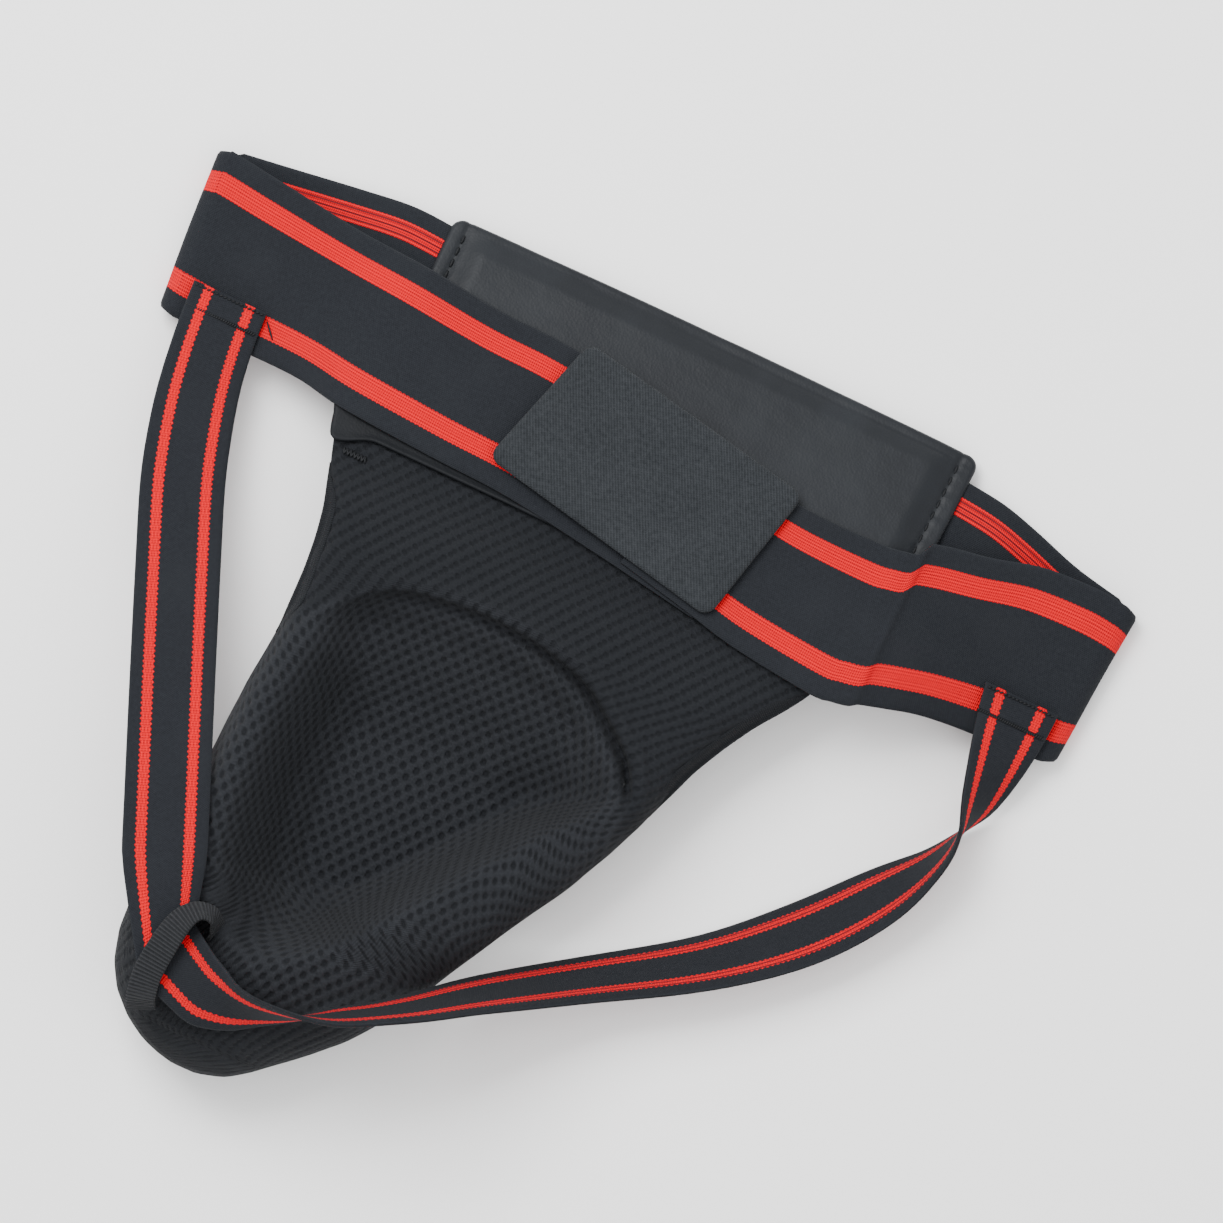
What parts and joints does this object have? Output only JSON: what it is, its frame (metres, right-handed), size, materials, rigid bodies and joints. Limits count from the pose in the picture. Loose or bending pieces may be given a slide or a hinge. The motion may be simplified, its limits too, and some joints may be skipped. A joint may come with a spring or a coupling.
{
  "type": "groin protector",
  "caption": "Groin protector for martial arts: mesh-lined cup, abdominal pad, elastic waistband with hook-and-loop closure and a single leg strap.",
  "frame": {"origin": "middle of the bounding box at the table, with the protector lying on its front", "axes": "+X along the waistband to the wearer's left, +Y from the tip of the cup up to the waist, +Z off the table towards the wearer's body"},
  "size_m": [0.352, 0.3045, 0.0751],
  "materials": {
    "pad_leather": "smooth PU, soft sheen",
    "foam": "matt, closed cell",
    "air_mesh": "knitted spacer mesh with round holes",
    "cup_shell": "moulded, satin",
    "elastic": "woven elastic, black with red stripes",
    "closure_tape": "hook-and-loop tape, twill back",
    "webbing": "narrow ribbed webbing",
    "thread": "sewing thread"
  },
  "bodies": {
    "pouch_and_front": {"pad_inner_cover": "pad_leather", "pad_foam": "foam", "pad_outer_cover": "pad_leather", "pad_end_stitching": "thread", "mesh_lining": "air_mesh", "bowl_foam": "foam", "rim_foam": "foam", "panel_foam": "foam", "hard_cup": "cup_shell", "cup_outer_cover": "pad_leather", "pocket_edge_strip": "pad_leather", "side_binding_left": "pad_leather", "side_binding_right": "pad_leather", "corner_bar_tacks": "thread", "front_band_left": "elastic", "front_band_right": "elastic", "waistband_fold_left": "elastic", "waistband_fold_right": "elastic", "strap_keeper": "webbing", "leg_strap_left": "elastic", "leg_strap_right": "elastic"},
    "rear_left": {"rear_band_left": "elastic", "loop_patch": "closure_tape", "strap_end_left": "elastic", "strap_stitching_left": "thread"},
    "rear_right": {"rear_band_right": "elastic", "hook_tab_base": "closure_tape", "strap_end_right": "elastic", "strap_stitching_right": "thread"},
    "closing_flap": {"hook_tab_flap": "closure_tape", "hook_field": "closure_tape"}
  },
  "joints": [
    {"name": "rear_right_swing", "type": "hinge", "parent": "pouch_and_front", "child": "rear_right", "pos_m": [0.171, 0.097, 0.006], "axis": [0, 1, 0], "range_deg": [0, 140], "deforming": ["waistband_fold_right"]},
    {"name": "rear_left_swing", "type": "hinge", "parent": "pouch_and_front", "child": "rear_left", "pos_m": [-0.171, 0.107, 0.006], "axis": [0, -1, 0], "range_deg": [0, 70], "deforming": ["waistband_fold_left"]},
    {"name": "closing_tab_peel", "type": "hinge", "parent": "rear_right", "child": "closing_flap", "pos_m": [0.0128, 0.0937, 0.0316], "axis": [0.2145, 0.9439, -0.2509], "range_deg": [0, 140]}
  ],
  "couplings": [
    {"joint": "rear_left_swing", "follows": "rear_right_swing", "ratio": 0.5}
  ]
}
